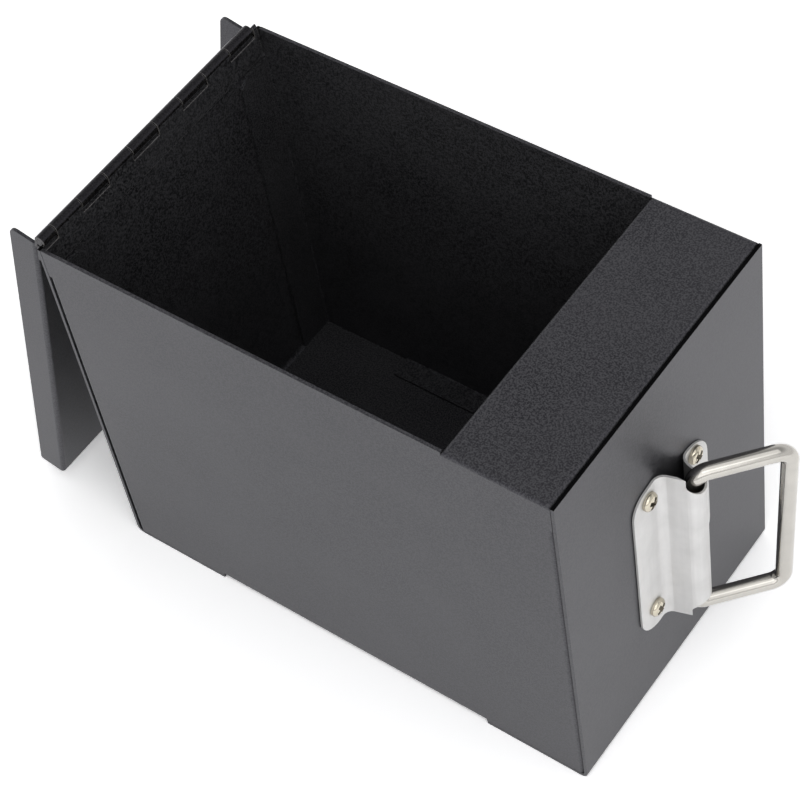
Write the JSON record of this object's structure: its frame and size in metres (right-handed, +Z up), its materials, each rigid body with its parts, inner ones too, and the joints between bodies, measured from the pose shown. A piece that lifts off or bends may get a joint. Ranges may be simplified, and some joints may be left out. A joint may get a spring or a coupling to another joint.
{
  "type": "removable cash box of an under-counter safe",
  "caption": "Folded sheet-steel cash box with a fixed top strip, a hinged drop-in tray lid folded right back, and a swinging wire bail handle on its front end.",
  "frame": {"origin": "the middle of the floor's underside, on the surface that the box stands on", "axes": "+X from the hinge end to the handle end, +Y from the near side to the far side, +Z up"},
  "size_m": [0.2755, 0.115, 0.1602],
  "materials": {
    "paint": "satin dark grey powder coat with a fine grain",
    "hinge_paint": "black satin paint over steel",
    "nickel": "satin nickel plate",
    "zinc": "bright zinc plate"
  },
  "bodies": {
    "box": {"floor_and_end_walls": "paint", "side_shell": "paint", "hinge_body_leaf": "hinge_paint", "hinge_pin": "hinge_paint", "handle_plate": "nickel", "handle_screw_1": "zinc", "handle_screw_2": "zinc", "handle_screw_3": "zinc", "handle_screw_4": "zinc", "handle_nut_1": "zinc", "handle_nut_2": "zinc", "handle_nut_3": "zinc", "handle_nut_4": "zinc"},
    "lid": {"lid_tray": "paint", "hinge_lid_leaf": "hinge_paint"},
    "bail": {"handle_bail": "nickel"}
  },
  "joints": [
    {"name": "lid_hinge", "type": "hinge", "parent": "box", "child": "lid", "pos_m": [-0.0976, 0, 0.1582], "axis": [0, 1, 0], "range_deg": [-12, 257.3]},
    {"name": "bail_swing", "type": "hinge", "parent": "box", "child": "bail", "pos_m": [0.106, 0, 0.0742], "axis": [0, 0, 1], "range_deg": [-60, 40]}
  ]
}
